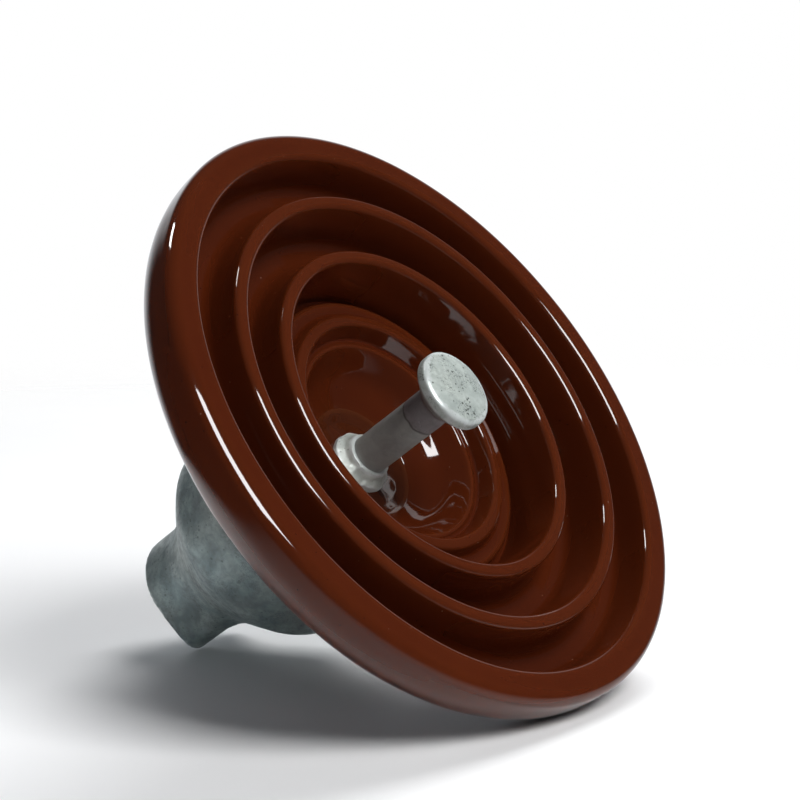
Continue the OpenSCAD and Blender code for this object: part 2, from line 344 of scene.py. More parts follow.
def turned(name, outline, segments, base=RIB_Z, closed=False, moved=None):
    """Spins an outline in mm. moved(points) may shift the points afterwards."""
    masks = bend_mask(outline, closed=closed)
    angles = np.arange(segments) * 2 * math.pi / segments
    rows, points, bends = [], [], []
    for (r, h), bend in zip(outline, masks):
        spin = angles if r > 1e-6 else angles[:1]
        rows.append([len(points) + k for k in range(len(spin))])
        points += [(r * math.cos(a), r * math.sin(a), h) for a in spin]
        bends += [bend] * len(spin)
    faces = []
    for i in range(len(rows) if closed else len(rows) - 1):
        low, high = rows[i], rows[(i + 1) % len(rows)]
        for j in range(segments):
            k = (j + 1) % segments
            if len(low) == 1 and len(high) == 1:
                continue
            if len(low) == 1:
                faces.append((low[0], high[k], high[j]))
            elif len(high) == 1:
                faces.append((low[j], low[k], high[0]))
            else:
                faces.append((low[j], low[k], high[k], high[j]))
    points = np.array(points)
    if moved is not None:
        points = moved(points)
    points = (points + (0, 0, base)) * MM
    mesh = bpy.data.meshes.new(name)
    mesh.from_pydata(points.tolist(), [], faces)
    mesh.polygons.foreach_set("use_smooth", [True] * len(mesh.polygons))
    # Crest mask: painted highlight on the glaze, wear on the zinc. Hollow mask: painted shade.
    store(mesh, "crest", np.clip(bends, 0, 1))
    store(mesh, "hollow_shade", np.clip(-np.array(bends), 0, 1))
    mesh.update()
    print(name, len(mesh.vertices), "points,", len(mesh.polygons), "faces")
    return link_mesh(name, mesh)


def lumps(points, size, seed):
    """Smooth random values, about -1 to 1, that change over a distance of size mm."""
    shift = Vector((seed * 17.3, seed * 5.1, seed * 9.7))
    return np.array([noise.noise(Vector(p) / size + shift) for p in points])


# %% [markdown]
# ## Porcelain disc
# The disc is one piece of fired porcelain. Its upper side is a plain cone that sheds
# rain. Its underside carries rings that make the leakage path long: a deep outer
# groove, two tall ribs and a low double rib round the bowl, where the next cap moves.
# The outline runs from the bore outwards under the ribs, round the rim and back over
# the cone to the head. A hand-finished surface is never perfect, so the points shrink
# inwards by up to a tenth of a millimetre in slow waves.

# %% Turn the porcelain disc
RIM_R, HEAD_R, RIM_TOP, CROWN_H = 127.5, 38, 23, 113
SHED_SLOPE = math.radians(18)
BOWL_EDGE = 26          # the surface inside this radius stays as turned
NECK_H = RIM_TOP + (RIM_R - HEAD_R) * math.tan(SHED_SLOPE)
DISC = [
    (0, 99), (24.8, 99, 9), (24.2, 46.5, 1.4), (36, 39, 16), (43.4, 27.6, 1.6),
    (46.4, 29.6, 1.4), (48.8, 20.6, 1.5), (53.3, 20.8, 1.5), (55.6, 25.6, 1.8),
    (62, 24, 2.2), (63.2, 31, 0.9), (66.4, 31.4, 0.9), (68, 4, 2.1), (73.6, 4, 2.1),
    (75.8, 24, 5.5), (89.4, 22.6, 5.5), (91.6, 0, 2.2), (97.4, 0, 2.2),
    (99.4, 18.6, 5.5), (112.4, 17.2, 5.5), (114.6, -1.4, 2.6), (RIM_R, -1.4, 4.5),
    (RIM_R, RIM_TOP, 20), (HEAD_R, NECK_H, 8), (36.2, CROWN_H, 15), (0, CROWN_H),
]


def hand_waves(points):
    reach = np.hypot(points[:, 0], points[:, 1])
    shrink = 0.05 * (1 + lumps(points, 34, 1)) + 0.02 * (1 + lumps(points, 9, 2))
    scale = 1 - np.where(reach > BOWL_EDGE, shrink, 0) / np.maximum(reach, 1)
    return points * np.stack([scale, scale, np.ones(len(points))], 1)


disc = turned("porcelain_disc", divided(rounded(DISC)), 288, moved=hand_waves)
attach(disc, "insulator")
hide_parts("porcelain_shell")
print("disc is", round(disc.dimensions.x * 1000, 1), "mm across")

# %% [markdown]
# ## Ball pin
# The pin is forged steel, dipped in molten zinc: a straight shank, a ball that is
# turned underneath to a cone and nearly flat on its face, and a flared root that the
# cement grips. Forging leaves the ball a little out of round and its face a little
# dished, so slow lumps of about a tenth of a millimetre are added. The rounded rim of
# the ball must stay inside its box, so the lumps only take material away there.

# %% Turn the ball pin
PIN = [
    (0, -12.2), (6, -12.2, 30), (16.65, -10.9, 2.2), (16.65, -6, 1.5), (8.2, 1.2, 2.5),
    (8.2, 62, 6), (16.5, 86, 3), (16.5, 93.5, 2.5), (0, 93.5),
]


def forge_marks(points):
    wave = 0.1 * lumps(points, 7, 3) + 0.05 * lumps(points, 2.5, 4)
    reach = np.hypot(points[:, 0], points[:, 1])
    scale = 1 + (wave - 0.12) / np.maximum(reach, 3)
    face = np.clip((-8.5 - points[:, 2]) / 2, 0, 1)
    lift = face * (0.12 + 0.12 * lumps(points, 5, 5))
    return np.stack([points[:, 0] * scale, points[:, 1] * scale, points[:, 2] + lift], 1)


pin = turned("ball_pin", divided(rounded(PIN, 12), 0.9), 128, moved=forge_marks)
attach(pin, "insulator")
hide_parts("pin")
print("pin is", round(pin.dimensions.z * 1000, 1), "mm long")

# %% [markdown]
# ## Zinc sleeve
# A ring of zinc is cast round the shank where it leaves the cement. It rusts away in
# place of the pin. It is poured by hand, so it is the least regular piece here: its
# collar has soft lumps and its edge wanders. The lumps fade out where the sleeve sits
# in the cement, so that they can't push through a neighbour.

# %% Turn the zinc sleeve
SLEEVE = [
    (8.2, 41.2), (9.3, 41.2, 0.7), (10.3, 44.0, 3), (13.2, 46.2, 1.2), (13.6, 48.8, 0.8),
    (10.6, 48.8), (10.6, 58, 0.8), (8.2, 58),
]


def poured(points):
    reach = np.hypot(points[:, 0], points[:, 1])
    free = np.clip((reach - 8.6) / 1.5, 0, 1) * np.clip((48.6 - points[:, 2]) / 0.6, 0, 1)
    out = free * (0.9 * lumps(points, 6.5, 6) + 0.3 * lumps(points, 2.6, 7))
    down = free * (0.9 * lumps(points, 6.5, 8) + 0.3 * lumps(points, 2.4, 9))
    scale = 1 + out / reach
    return np.stack([points[:, 0] * scale, points[:, 1] * scale, points[:, 2] + down], 1)


sleeve = turned("zinc_collar", divided(rounded(SLEEVE, 12), 0.6, closed=True), 144,
                closed=True, moved=poured)
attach(sleeve, "insulator")
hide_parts("zinc_sleeve")

# %% [markdown]
# ## Sealing paint in the bore
# The open face of the cement round the pin is brushed with thick brown paint. It
# dries in a wavy skin with a raised ring where it meets the wall, and it shines like
# the glaze. The waves are real points here, because they break up the reflections.

# %% Turn the paint skin round the pin
PAINT = [
    (10.6, 48.8), (13, 48.7), (19.5, 48.3), (23.0, 47.2, 3), (24.9, 46.0, 0.3), (24.6, 50.5),
    (10.6, 50.5),
]


def brushed(points):
    reach = np.hypot(points[:, 0], points[:, 1])
    face = np.clip((49.6 - points[:, 2]) / 0.6, 0, 1)
    inside = face * np.clip((reach - 11.0) / 2, 0, 1) * np.clip((24.4 - reach) / 2.0, 0, 1)
    lift = inside * (0.75 * lumps(points, 11, 10) + 0.06 * lumps(points, 4, 11) - 0.3)
    return np.stack([points[:, 0], points[:, 1], points[:, 2] + lift], 1)


paint_skin = turned("bore_paint_skin", divided(rounded(PAINT, 12), 0.5, closed=True), 160,
                    closed=True, moved=brushed)
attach(paint_skin, "insulator")
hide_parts("pin_face_seal")

# %% [markdown]
# ## Cast cap
# The cap is malleable iron cast in sand and dipped in zinc. Its skirt, shoulder and
# neck are round, but the socket above them is square at the front, where the ball of
# the next unit slides in, and round at the back. The outside is a height map round
# the axis: for each height and each angle there is one distance. A soft maximum joins
# neck and socket, as a fillet does in the pattern maker's wood. The hollows are cut
# out with booleans, then a voxel remesh and a little smoothing melt every edge to the
# radius that sand casting gives.

# %% Shape the cap blank
CAP_TOP = 160.6
HOUSING_FROM = 129.0
CAP_OUTSIDE = [
    (0, 56), (50.2, 56, 1.8), (50.2, 62, 3), (48.3, 67, 4), (47.6, 108, 15),
    (30.5, 130.5, 10), (26, 140, 8), (18, 152), (18, CAP_TOP), (0, CAP_TOP),
]
FLARE = [(0, 128), (25, 128), (28, 137, 12), (32.5, 147, 10), (37, 153.5, 5),
         (35.5, CAP_TOP, 4), (0, CAP_TOP)]
CHEEK, FRONT, FRONT_CORNER, BACK_SHIFT = 25.0, 20.5, 7.5, 1.6
CAP_SEGMENTS = 240
EDGE_BLEND, NECK_BLEND = 2.5, 5.0        # fillets of the socket and under it


def soft_max(a, b, reach):
    blend = np.clip(0.5 + 0.5 * (a - b) / reach, 0, 1)
    return b + (a - b) * blend + reach * blend * (1 - blend)


def plan_reach(angle):
    """Distance from the axis to the edge of the socket's plan in one direction."""
    c, s = math.cos(angle), abs(math.sin(angle))
    if c >= 0:
        root = math.sqrt(CHEEK ** 2 - (BACK_SHIFT * s) ** 2)
        return min(BACK_SHIFT * c + root, CHEEK / max(s, 1e-6) * 1.002)
    reach = min(FRONT / -c if c < -1e-6 else 1e9, CHEEK / max(s, 1e-6))
    corner = np.array([-(FRONT - FRONT_CORNER), CHEEK - FRONT_CORNER])
    way = np.array([c, s])
    along = corner @ way
    off = corner @ corner - along ** 2
    if off < FRONT_CORNER ** 2:
        hit = along + math.sqrt(FRONT_CORNER ** 2 - off)
        tip = way * hit - corner
        if tip[0] <= 0 and tip[1] >= 0:
            reach = min(reach, hit)
    return reach


def cap_blank():
    outside = divided(rounded(CAP_OUTSIDE, 8), 1.2)
    flare = rounded(FLARE, 8)
    flare = flare[np.argsort(flare[:, 1], kind="stable")]
    flare = flare[flare[:, 0] > 15]
    angles = np.arange(CAP_SEGMENTS) * 2 * math.pi / CAP_SEGMENTS
    plan = np.array([plan_reach(a) for a in angles])
    rings = []
    for r, h in outside:
        ring = np.full(CAP_SEGMENTS, r)
        if h > HOUSING_FROM and r > 15:
            wide = np.interp(h, flare[:, 1], flare[:, 0])
            housing = -soft_max(-plan, np.full(CAP_SEGMENTS, -wide), EDGE_BLEND)
            ring = soft_max(ring, housing, NECK_BLEND)
        if r > 0:
            rings.append((ring, h))
    return rings, angles


def closed_from_rings(name, rings, angles):
    """Closed mesh from rings of distances, one list per height, with flat ends."""
    made = bmesh.new()
    rows = []
    for ring, h in rings:
        rows.append([made.verts.new((r * math.cos(a) * MM, r * math.sin(a) * MM,
                                     (h + RIB_Z) * MM)) for r, a in zip(ring, angles)])
    count = len(angles)
    for low, high in zip(rows, rows[1:]):
        for j in range(count):
            k = (j + 1) % count
            made.faces.new((low[j], low[k], high[k], high[j]))
    made.faces.new(reversed(rows[0]))
    made.faces.new(rows[-1])
    mesh = bpy.data.meshes.new(name)
    made.to_mesh(mesh)
    made.free()
    return link_mesh(name, mesh)


cap = closed_from_rings("cast_cap", *cap_blank())
print("cap blank:", [round(v * 1000, 1) for v in cap.dimensions], "mm")

# %% Cut the hollows of the cap
def solid_box(name, low, high):
    made = bmesh.new()
    bmesh.ops.create_cube(made, size=1.0)
    size, middle = np.subtract(high, low) * MM, np.add(low, high) / 2 * MM
    bmesh.ops.transform(made, matrix=Matrix.Translation(middle) @ Matrix.Diagonal((*size, 1)),
                        verts=made.verts)
    mesh = bpy.data.meshes.new(name)
    made.to_mesh(mesh)
    made.free()
    return link_mesh(name, mesh)


def settle(piece, kind, **options):
    """Adds one modifier, works it out and keeps the result as the piece's mesh."""
    step = piece.modifiers.new(kind.lower(), kind)
    for key, value in options.items():
        setattr(step, key, value)
    ready = piece.evaluated_get(bpy.context.evaluated_depsgraph_get())
    mesh = bpy.data.meshes.new_from_object(ready)
    piece.modifiers.clear()
    piece.data = mesh
    return piece


def open_edges(mesh):
    sides = np.zeros(len(mesh.edges), int)
    used = np.empty(len(mesh.loops), np.int32)
    mesh.loops.foreach_get("edge_index", used)
    np.add.at(sides, used, 1)
    return int((sides != 2).sum())


def cut(piece, cutter):
    """Takes the cutter away. The manifold solver keeps the mesh closed, and a mesh with
    even one open edge would spoil every later cut, so none may be left."""
    settle(piece, "BOOLEAN", operation="DIFFERENCE", solver="MANIFOLD", object=cutter)
    bpy.data.objects.remove(cutter)
    left = open_edges(piece.data)
    if left:
        raise RuntimeError("the cap is no longer closed: %d open edges" % left)


SOCKET_R, THROAT_R, FUNNEL_R = 17.6, 9.6, 14.8
SOCKET_FLOOR, SEAT_LOW, SEAT_HIGH = -19.5, -7.9, -1.1
ENTRY_TOP, SHANK_SLOT_LOW = -5.2, -6.2
POCKET_BACK, POCKET_HALF, CLIP_SLOT_HALF, CLIP_SLOT_TOP = 20.8, 8.6, 4.2, -14.8
SOCKET_INSIDE, PAST_WALL, PAST_TOP = 8, 60, 20
CAVITY = [(0, 40), (41.2, 40), (41.2, 55), (42.6, 105.3, 12), (24.8, 116.8, 6), (0, 116.8)]
SOCKET = [
    (0, SOCKET_FLOOR), (SOCKET_R, SOCKET_FLOOR, 1.0), (SOCKET_R, SEAT_LOW, 1.0),
    (THROAT_R, SEAT_HIGH, 1.0), (THROAT_R, 9.9, 2.0), (FUNNEL_R, 15.2),
    (FUNNEL_R, PAST_TOP), (0, PAST_TOP),
]
cut(cap, turned("cavity", rounded(CAVITY), 160))
cut(cap, turned("socket", rounded(SOCKET), 120, base=0.0))
cut(cap, solid_box("entry", (-PAST_WALL, -SOCKET_R, SOCKET_FLOOR), (0, SOCKET_R, ENTRY_TOP)))
cut(cap, solid_box("shank_slot", (-PAST_WALL, -THROAT_R, SHANK_SLOT_LOW),
                   (0, THROAT_R, PAST_TOP)))
# The melting further down fills the corners of small holes. The clip's own pocket and
# slot are cut this much wider, top and bottom too, so that the clip still slides freely.
MELT_ROOM = 0.9
clip_low, clip_high = SOCKET_FLOOR - MELT_ROOM, CLIP_SLOT_TOP + MELT_ROOM
pocket_side, slot_side = POCKET_HALF + MELT_ROOM, CLIP_SLOT_HALF + MELT_ROOM
cut(cap, solid_box("clip_pocket", (SOCKET_INSIDE, -pocket_side, clip_low),
                   (POCKET_BACK + MELT_ROOM, pocket_side, clip_high)))
cut(cap, solid_box("clip_slot", (SOCKET_INSIDE, -slot_side, clip_low),
                   (PAST_WALL, slot_side, clip_high)))
print("cap after the cuts:", len(cap.data.polygons), "faces")

# %% [markdown]
# The remesh gives even, small faces, so the curvature at each point can be read off
# its neighbours: a point that stands proud of their mean lies on an edge. That mask
# is what the zinc uses to look rubbed. Sand and zinc leave the skin slightly uneven,
# which is added in the same cell, and no point is let rise above the cap's top face.

# %% Melt the edges, roughen the skin, mark the rubbed edges
CAP_VOXEL = 0.0010


def mark_edges(mesh, rounds=3):
    count = len(mesh.vertices)
    place = np.empty(count * 3, np.float32)
    mesh.vertices.foreach_get("co", place)
    facing = np.empty(count * 3, np.float32)
    mesh.vertices.foreach_get("normal", facing)
    pairs = np.empty(len(mesh.edges) * 2, np.int32)
    mesh.edges.foreach_get("vertices", pairs)
    place, facing, pairs = place.reshape(-1, 3), facing.reshape(-1, 3), pairs.reshape(-1, 2)
    links = np.bincount(pairs.ravel(), minlength=count).astype(float)

    def mean_of_neighbours(values):
        total = np.zeros((count, values.shape[1]))
        np.add.at(total, pairs[:, 0], values[pairs[:, 1]])
        np.add.at(total, pairs[:, 1], values[pairs[:, 0]])
        return total / np.maximum(links, 1)[:, None]

    proud = ((place - mean_of_neighbours(place)) * facing).sum(1)[:, None] / (0.12 * CAP_VOXEL)
    for _ in range(rounds):
        proud = 0.5 * proud + 0.5 * mean_of_neighbours(proud)
    # Points that sink below their neighbours feed the hollow mask, where the zinc paints shade.
    store(mesh, "crest", np.clip(proud[:, 0], 0, 1))
    store(mesh, "hollow_shade", np.clip(-proud[:, 0], 0, 1))


settle(cap, "REMESH", mode="VOXEL", voxel_size=CAP_VOXEL, use_smooth_shade=True)
settle(cap, "SMOOTH", factor=0.5, iterations=5)
cap_mesh = cap.data
flat = np.empty(len(cap_mesh.vertices) * 3, np.float32)
cap_mesh.vertices.foreach_get("co", flat)
skin = flat.reshape(-1, 3) / MM
outer = np.hypot(skin[:, 0], skin[:, 1])
rise = 0.22 * lumps(skin, 13, 12) + 0.08 * lumps(skin, 4, 13) + 0.03 * lumps(skin, 1.6, 14)
on_outside = (outer > 19) & (skin[:, 2] < 12.5) & ~((skin[:, 2] > -21) & (np.abs(skin[:, 1]) < 18.5)
                                                    & (outer < 24))
scale = 1 + np.where(on_outside, rise, 0) / np.maximum(outer, 1)
skin[:, 0] *= scale
skin[:, 1] *= scale
skin[:, 2] = np.minimum(skin[:, 2], CAP_TOP + RIB_Z)
cap_mesh.vertices.foreach_set("co", (skin * MM).astype(np.float32).ravel())
cap_mesh.update()
mark_edges(cap_mesh)
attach(cap, "insulator")
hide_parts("cap")
print("cap skin:", len(cap_mesh.vertices), "points")

# %% [markdown]
# ## Locking clip
# A flat bronze strip is bent round to a closed nose with two outward feet. It slides
# in a slot at the back of the socket and keeps the ball from slipping out. The strip
# is drawn as the middle line of its path. Points to the left and to the right of the
# line give the outline, which is pulled up to the strip's width, and a small bevel
# takes the sharpness off the sheared edges.

# %% Bend the locking clip
STRIP_T, STRIP_W, CLIP_LOW = 1.5, 4.0, -19.1
NOSE_X, LEG_Y = 21.6, 2.2


def strip_path():
    foot = rounded([(7.0, 7.1), (4.75, 7.2, 1.3), (4.75, 2.2, 1.2), (12.0, LEG_Y)], 15)
    half = list(foot)
    nose = [np.array([NOSE_X + LEG_Y * math.cos(a), LEG_Y * math.sin(a)])
            for a in np.radians(np.linspace(90, -90, 19))]
    return np.array(half + nose + [np.array([p[0], -p[1]]) for p in reversed(half)])


path_line = strip_path()
along = np.gradient(path_line, axis=0)
along /= np.linalg.norm(along, axis=1)[:, None]
side = np.stack([-along[:, 1], along[:, 0]], 1) * STRIP_T / 2
outline = np.vstack([path_line + side, (path_line - side)[::-1]])
strip = bmesh.new()
bottom = [strip.verts.new((x * MM, y * MM, CLIP_LOW * MM)) for x, y in outline]
base = strip.faces.new(bottom)
pulled = bmesh.ops.extrude_face_region(strip, geom=[base])
risen = [v for v in pulled["geom"] if isinstance(v, bmesh.types.BMVert)]
bmesh.ops.translate(strip, verts=risen, vec=(0, 0, STRIP_W * MM))
bmesh.ops.recalc_face_normals(strip, faces=strip.faces)
rims = [e for e in strip.edges if len(e.link_faces) == 2 and e.calc_face_angle() > 1.2]
bmesh.ops.bevel(strip, geom=rims, offset=0.28 * MM, segments=3, profile=0.5, affect="EDGES")
clip_mesh = bpy.data.meshes.new("locking_strip")
strip.to_mesh(clip_mesh)
strip.free()
clip_mesh.polygons.foreach_set("use_smooth", [True] * len(clip_mesh.polygons))
clip = link_mesh("locking_strip", clip_mesh)
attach(clip, "locking_clip")
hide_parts("locking_clip")
print("clip:", len(clip_mesh.polygons), "faces")

# %% [markdown]
# ## Shared effects
# Several finishes need the same things, so each effect is a node group with named
# sockets, built once. Drift is a slow change of tone. Pits are small round spots of
# mixed size. Fibres are thin crooked lines, such as zinc shows where it froze. Grain
# is a fine height for casting skin and cement. Rubbing breaks up a mask from the mesh,
# so that an edge looks worn by hand and not painted.

# %% Helper that opens a group
def open_group(name, inputs, outputs):
    group = bpy.data.node_groups.new(name, "ShaderNodeTree")
    for label, value in inputs.items():
        made = group.interface.new_socket(label, in_out="INPUT", socket_type="NodeSocketFloat")
        made.default_value = value
    for label in outputs:
        group.interface.new_socket(label, in_out="OUTPUT", socket_type="NodeSocketFloat")
    way_in = group.nodes.new("NodeGroupInput")
    way_out = group.nodes.new("NodeGroupOutput")
    return group, way_in.outputs, way_out.inputs


def use(tree, group, output, **inputs):
    made = tree.nodes.new("ShaderNodeGroup")
    made.node_tree = group
    for label, value in inputs.items():
        if isinstance(value, bpy.types.NodeSocket):
            tree.links.new(value, made.inputs[label])
        else:
            made.inputs[label].default_value = value
    return made.outputs[output]


def object_noise(tree, scale, detail=3.0, distortion=0.0, roughness=0.5):
    place = put(tree, "TexCoord").outputs["Object"]
    return put(tree, "TexNoise", {"Vector": place, "Scale": scale, "Detail": detail,
                                  "Distortion": distortion, "Roughness": roughness})


# %% Group: slow drift of tone
drift, given, result = open_group("tone_drift", {"Scale": 30.0, "Contrast": 1.0}, ["Tone"])
wide = object_noise(drift, given["Scale"], 4.0, 0.6).outputs["Fac"]
centred = sums(drift, "SUBTRACT", wide, 0.5)
stretched = sums(drift, "MULTIPLY", centred, given["Contrast"])
drift.links.new(sums(drift, "ADD", stretched, 0.5, clamp=True), result["Tone"])

# %% Group: small round pits of mixed size
pits, given, result = open_group("small_pits", {"Scale": 400.0, "Size": 0.2}, ["Mask"])
place = put(pits, "TexCoord").outputs["Object"]
cells = put(pits, "TexVoronoi", {"Vector": place, "Scale": given["Scale"]})
luck = put(pits, "SeparateColor", {"Color": cells.outputs["Color"]}).outputs["Red"]
own_size = sums(pits, "MULTIPLY", sums(pits, "POWER", luck, 2.5), given["Size"])
edge = sums(pits, "SUBTRACT", own_size, cells.outputs["Distance"])
soft = sums(pits, "DIVIDE", edge, sums(pits, "MULTIPLY", given["Size"], 0.35), clamp=True)
pits.links.new(soft, result["Mask"])

# %% Group: thin crooked fibres
fibres, given, result = open_group("zinc_fibres", {"Scale": 260.0, "Width": 0.05, "Cover": 0.5},
                                   ["Mask"])
curl = object_noise(fibres, given["Scale"], 2.0, 1.6).outputs["Fac"]
ridge = sums(fibres, "ABSOLUTE", sums(fibres, "SUBTRACT", curl, 0.5))
line = sums(fibres, "SUBTRACT", 1.0, sums(fibres, "DIVIDE", ridge, given["Width"]), clamp=True)
patch = object_noise(fibres, 95.0, 3.0).outputs["Fac"]
here = spread(fibres, sums(fibres, "ADD", patch, sums(fibres, "SUBTRACT", given["Cover"], 0.5)),
              0.45, 0.62)
fibres.links.new(sums(fibres, "MULTIPLY", line, here), result["Mask"])

# %% Group: fine grain for skins
grain, given, result = open_group("skin_grain", {"Scale": 700.0, "Coarse": 0.5}, ["Height"])
fine = object_noise(grain, given["Scale"], 4.0).outputs["Fac"]
broad = object_noise(grain, sums(grain, "MULTIPLY", given["Scale"], 0.22), 3.0).outputs["Fac"]
share = sums(grain, "MULTIPLY", broad, given["Coarse"])
rest = sums(grain, "MULTIPLY", fine, sums(grain, "SUBTRACT", 1.0, given["Coarse"]))
grain.links.new(sums(grain, "ADD", share, rest), result["Height"])

# %% Group: rubbing that breaks up a mask
rubbing, given, result = open_group("rubbing", {"Edge": 0.0, "Scale": 220.0, "Amount": 0.6},
                                    ["Mask"])
rag = object_noise(rubbing, given["Scale"], 5.0, 0.4).outputs["Fac"]
lifted = sums(rubbing, "MULTIPLY_ADD", sums(rubbing, "SUBTRACT", rag, 0.5), 1.8, given["Edge"])
rubbing.links.new(sums(rubbing, "MULTIPLY", spread(rubbing, lifted, 0.35, 0.85),
                       given["Amount"]), result["Mask"])
print("groups:", [g.name for g in bpy.data.node_groups])

# %% [markdown]
# ## Brown glaze
# The glaze is a glass coloured by iron and manganese. Its tone drifts slowly between a
# darker and a lighter brown. The crests are painted warmer and lighter, a painted
# highlight, and the hollows darker, a painted shade. A second, clear layer is not
# needed: one smooth surface with a slight orange peel gives the hard, liquid
# highlights. A few tiny specks of iron and of kiln dust keep it from looking plastic.

# %% Glaze material, used for the disc and for the paint over the cement
def brown_glass(name, thin, deep, warm, peel, rough):
    material, tree = new_material(name)
    crest = put(tree, "Attribute", attribute_name="crest").outputs["Fac"]
    hollow_shade = put(tree, "Attribute", attribute_name="hollow_shade").outputs["Fac"]
    slow = use(tree, drift, "Tone", Scale=16.0, Contrast=1.0)
    streaky = use(tree, drift, "Tone", Scale=60.0, Contrast=0.8)
    body = tint(tree, slow, deep, thin)
    body = tint(tree, sums(tree, "MULTIPLY", streaky, 0.2), body, warm)
    # Painted highlight: the crests are tinted warmer and lighter.
    body = tint(tree, sums(tree, "MULTIPLY", crest, 0.3), body, warm)
    # Painted shade: the hollows are tinted darker.
    body = tint(tree, sums(tree, "MULTIPLY", hollow_shade, 0.45), body, deep)
    iron = use(tree, pits, "Mask", Scale=330.0, Size=0.16)
    body = tint(tree, sums(tree, "MULTIPLY", iron, 0.55), body, (0.012, 0.005, 0.004, 1))
    dust = use(tree, pits, "Mask", Scale=210.0, Size=0.07)
    body = tint(tree, sums(tree, "MULTIPLY", dust, 0.35), body, (0.4, 0.3, 0.24, 1))
    shine = sums(tree, "MULTIPLY_ADD", streaky, 0.035, rough)
    shine = sums(tree, "MULTIPLY_ADD", dust, 0.25, shine)
    ripple = object_noise(tree, 55.0, 2.0).outputs["Fac"]
    wave = put(tree, "Bump", {"Height": ripple, "Strength": 0.35, "Distance": peel})
    skin = use(tree, grain, "Height", Scale=900.0, Coarse=0.7)
    bump = put(tree, "Bump", {"Height": skin, "Strength": 0.12, "Distance": 0.00006,
                              "Normal": wave.outputs[0]})
    shader = put(tree, "BsdfPrincipled", {"Base Color": body, "Roughness": shine,
                                          "Normal": bump.outputs[0], "IOR": 1.53})
    put(tree, "OutputMaterial", {"Surface": shader.outputs[0]})
    return material


glaze = brown_glass("brown_glaze", (0.070, 0.0122, 0.0030, 1), (0.052, 0.0078, 0.0020, 1),
                    (0.098, 0.021, 0.0055, 1), 0.0004, 0.035)
seal = brown_glass("seal_paint_brown", (0.070, 0.016, 0.005, 1), (0.030, 0.006, 0.0025, 1),
                   (0.12, 0.032, 0.010, 1), 0.0006, 0.06)
disc.data.materials.append(glaze)
paint_skin.data.materials.append(seal)
print("glaze nodes:", len(glaze.node_tree.nodes))

# %% [markdown]
# ## Hot-dip zinc
# Fresh zinc is bright, but it soon turns to a matt grey skin with a green or blue
# cast, dark where flux or dirt stayed in its pores. Its hollows are painted darker as
# shade. The same recipe serves the cap, the pin and the collar with other tones. It is
# only partly metallic: the skin scatters light like chalk, and the metal shows where
# hands or a crane rubbed it.

# %% Zinc material
def zinc_skin(name, pale, grey, cool, dark, metal=0.35, rough=0.5, coarse=0.00035,
              speck=0.8, size=1.0):
    material, tree = new_material(name)
    crest = put(tree, "Attribute", attribute_name="crest").outputs["Fac"]
    hollow_shade = put(tree, "Attribute", attribute_name="hollow_shade").outputs["Fac"]
    slow = use(tree, drift, "Tone", Scale=85.0 / size, Contrast=3.4)
    cloudy = use(tree, drift, "Tone", Scale=30.0 / size, Contrast=3.2)
    flecks = use(tree, drift, "Tone", Scale=380.0 / size, Contrast=3.4)
    body = tint(tree, slow, grey, pale)
    body = tint(tree, sums(tree, "MULTIPLY", cloudy, 0.55), body, cool)
    body = tint(tree, sums(tree, "MULTIPLY", flecks, 0.45), body, grey)
    lines = use(tree, fibres, "Mask", Scale=430.0 / size, Width=0.04, Cover=0.52)
    body = tint(tree, sums(tree, "MULTIPLY", lines, speck), body, dark)
    spots = use(tree, pits, "Mask", Scale=580.0 / size, Size=0.42)
    body = tint(tree, sums(tree, "MULTIPLY", spots, speck), body, dark)
    # Painted shade: the hollows are tinted darker.
    body = tint(tree, sums(tree, "MULTIPLY", hollow_shade, 0.5), body, dark)
    bright = use(tree, rubbing, "Mask", Edge=crest, Scale=240.0, Amount=0.7)
    body = tint(tree, bright, body, (0.62, 0.66, 0.66, 1))
    shine = sums(tree, "MULTIPLY_ADD", flecks, 0.18, rough)
    shine = sums(tree, "MULTIPLY_ADD", bright, -0.15, shine)
    skin = use(tree, grain, "Height", Scale=620.0 / size, Coarse=0.6)
    skin = sums(tree, "MULTIPLY_ADD", spots, -0.35, skin)
    bump = put(tree, "Bump", {"Height": skin, "Strength": 0.6, "Distance": coarse})
    shader = put(tree, "BsdfPrincipled", {"Base Color": body, "Roughness": shine,
                                          "Normal": bump.outputs[0], "Metallic": metal})
    put(tree, "OutputMaterial", {"Surface": shader.outputs[0]})
    return material, tree, shader, body


cap_zinc = zinc_skin("cap_zinc", (0.50, 0.56, 0.535, 1), (0.20, 0.23, 0.225, 1),
                     (0.24, 0.36, 0.38, 1), (0.045, 0.055, 0.05, 1), metal=0.3, rough=0.36,
                     coarse=0.0005, speck=0.35)[0]
# The cuts leave an empty slot behind, which the faces would go on using.
cap.data.materials.clear()
cap.data.materials.append(cap_zinc)
cap.data.polygons.foreach_set("material_index", [0] * len(cap.data.polygons))
collar_zinc = zinc_skin("collar_zinc", (0.60, 0.64, 0.60, 1), (0.42, 0.46, 0.42, 1),
                        (0.50, 0.56, 0.54, 1), (0.13, 0.13, 0.11, 1), metal=0.1, rough=0.42,
                        speck=0.55, size=0.7)[0]
sleeve.data.materials.append(collar_zinc)
print("zinc materials for the cap and the collar")

# %% [markdown]
# The pin needs one step more. Its ball face came out of the zinc pale and pitted, its
# shank was wiped and is darker and smoother, and just under the ball a band is darker
# still, where the tongs held it. The bands follow the height along the axis, with an
# uneven border.

